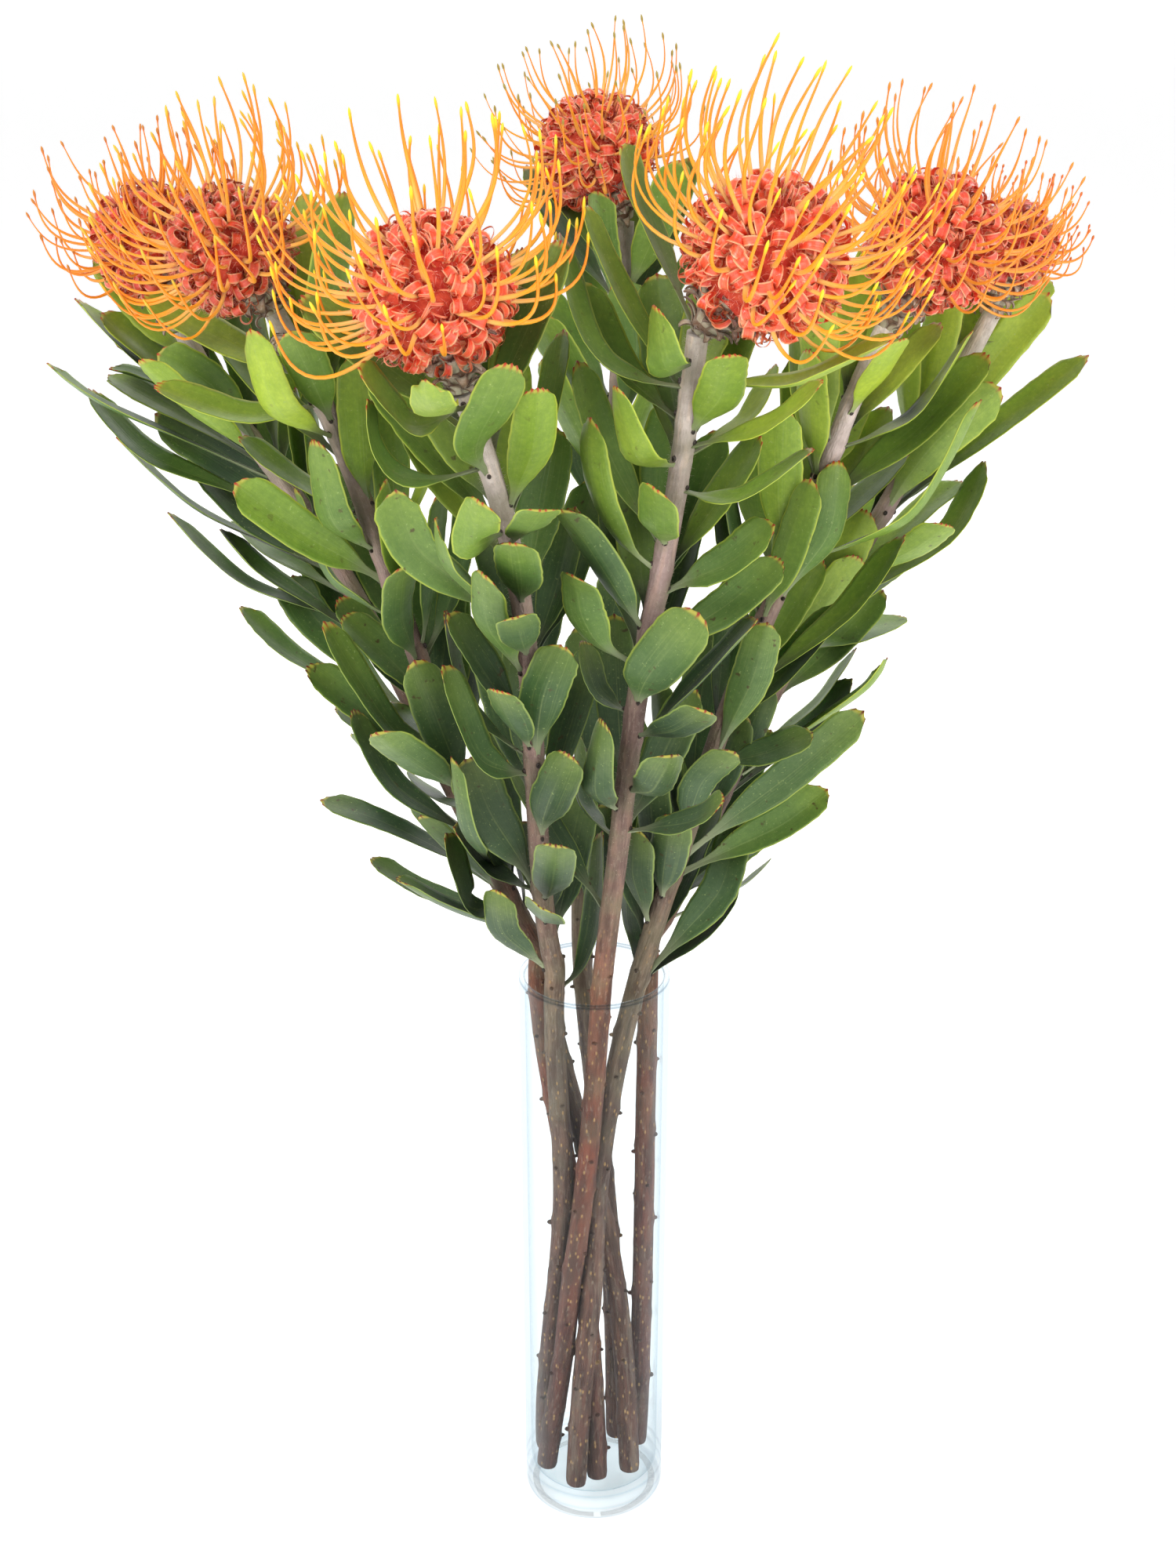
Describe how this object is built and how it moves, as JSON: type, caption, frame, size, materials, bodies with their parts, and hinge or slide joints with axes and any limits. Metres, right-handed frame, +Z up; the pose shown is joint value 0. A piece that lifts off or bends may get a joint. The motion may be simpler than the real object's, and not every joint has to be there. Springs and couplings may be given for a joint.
{
  "type": "pincushion protea bouquet in glass vase",
  "caption": "Bouquet of pincushion protea stems with orange domed flower heads, curved styles and green toothed leaves, standing in a tall clear glass cylinder vase",
  "frame": {"origin": "centre of the vase's flat underside, where it stands on the table", "axes": "+Z up along the vase axis, +X to the right as seen from the front, +Y away from the front"},
  "size_m": [0.4555, 0.3085, 0.6904],
  "materials": {
    "vase_glass": "clear smooth colourless glass",
    "stem_and_leaf": "living reddish-brown bark with matte green leaves",
    "leaf": "leathery green leaf, satin",
    "bract": "dry brown-grey hairy scales, matte",
    "flower": "orange-red florets and orange styles with yellow tips, satin"
  },
  "bodies": {
    "root": {"glass_vase": "vase_glass", "leafy_stem_1": "stem_and_leaf", "leafy_stem_2": "stem_and_leaf", "leafy_stem_3": "stem_and_leaf", "leafy_stem_4": "stem_and_leaf", "leafy_stem_5": "stem_and_leaf", "leafy_stem_6": "stem_and_leaf", "leafy_stem_7": "stem_and_leaf", "stem_mid_3": "stem_and_leaf", "stem_low_3": "stem_and_leaf", "stem_mid_6": "stem_and_leaf", "stem_low_6": "stem_and_leaf", "bract_cup_1": "bract", "bract_cup_2": "bract", "bract_cup_3": "bract", "bract_cup_4": "bract", "bract_cup_5": "bract", "bract_cup_6": "bract", "bract_cup_7": "bract", "flower_head_1": "flower", "flower_head_2": "flower", "flower_head_3": "flower", "flower_head_4": "flower", "flower_head_5": "flower", "flower_head_6": "flower", "flower_head_7": "flower", "side_bud": "bract", "leaf_1": "leaf", "leaf_4": "leaf", "leaf_6": "leaf", "leaf_9": "leaf", "leaf_11": "leaf", "leaf_14": "leaf", "leaf_15": "leaf", "leaf_18": "leaf", "leaf_19": "leaf", "leaf_20": "leaf", "leaf_23": "leaf", "leaf_27": "leaf", "leaf_31": "leaf", "leaf_41": "leaf", "leaf_48": "leaf", "leaf_49": "leaf", "leaf_60": "leaf", "leaf_62": "leaf", "leaf_69": "leaf", "leaf_71": "leaf", "leaf_72": "leaf", "leaf_74": "leaf", "leaf_76": "leaf", "leaf_77": "leaf", "leaf_78": "leaf", "leaf_79": "leaf", "leaf_82": "leaf", "leaf_90": "leaf", "leaf_92": "leaf", "leaf_95": "leaf", "leaf_98": "leaf", "leaf_99": "leaf", "leaf_112": "leaf"}
  },
  "joints": []
}
